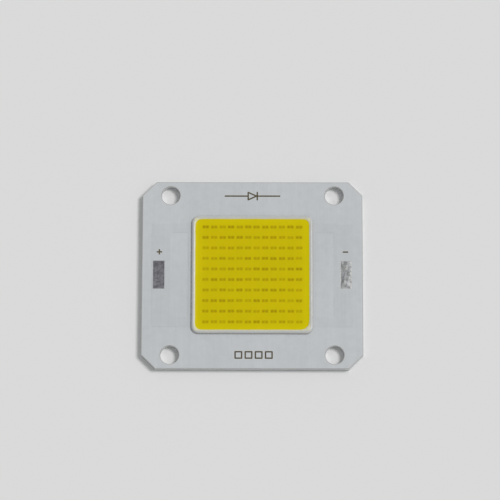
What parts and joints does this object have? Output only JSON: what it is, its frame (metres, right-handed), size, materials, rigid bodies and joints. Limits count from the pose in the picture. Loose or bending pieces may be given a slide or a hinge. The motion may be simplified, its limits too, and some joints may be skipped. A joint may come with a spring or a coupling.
{
  "type": "chip on board led",
  "caption": "Rectangular chip-on-board light source: white coated aluminium board with cut corners and screw holes, a square yellow emitting area behind a low dam, and a solder pad at each end.",
  "frame": {"origin": "middle of the back face of the aluminium board", "axes": "+X along the length of the board towards the negative pad, +Y across its width, +Z out of the emitting face"},
  "size_m": [0.046, 0.04, 0.0024],
  "materials": {
    "aluminium": "bright rolled sheet, punched edges",
    "laminate": "matt glass-filled resin",
    "copper": "etched copper with a thin bright plating on its bare lands",
    "white_coating": "satin white printed coating",
    "tinning": "flat bright tin",
    "solder": "rippled solder",
    "dam_silicone": "milky white silicone, glossy",
    "phosphor_silicone": "yellow filled silicone, glossy, nearly opaque",
    "die_adhesive": "clear to white silicone adhesive",
    "sapphire": "polished sapphire chip",
    "gold": "fine gold wire"
  },
  "bodies": {
    "root": {"base_plate": "aluminium", "insulation_layer": "laminate", "circuit_positive": "copper", "circuit_negative": "copper", "white_coating": "white_coating", "solder_pad_positive": "tinning", "solder_pad_negative": "solder", "dam": "dam_silicone", "phosphor": "phosphor_silicone", "die_attach": "die_adhesive", "die_string_01": "sapphire", "die_string_02": "sapphire", "die_string_03": "sapphire", "die_string_04": "sapphire", "die_string_05": "sapphire", "die_string_06": "sapphire", "die_string_07": "sapphire", "die_string_08": "sapphire", "die_string_09": "sapphire", "die_string_10": "sapphire", "bond_wires_01": "gold", "bond_wires_02": "gold", "bond_wires_03": "gold", "bond_wires_04": "gold", "bond_wires_05": "gold", "bond_wires_06": "gold", "bond_wires_07": "gold", "bond_wires_08": "gold", "bond_wires_09": "gold", "bond_wires_10": "gold"}
  },
  "joints": []
}
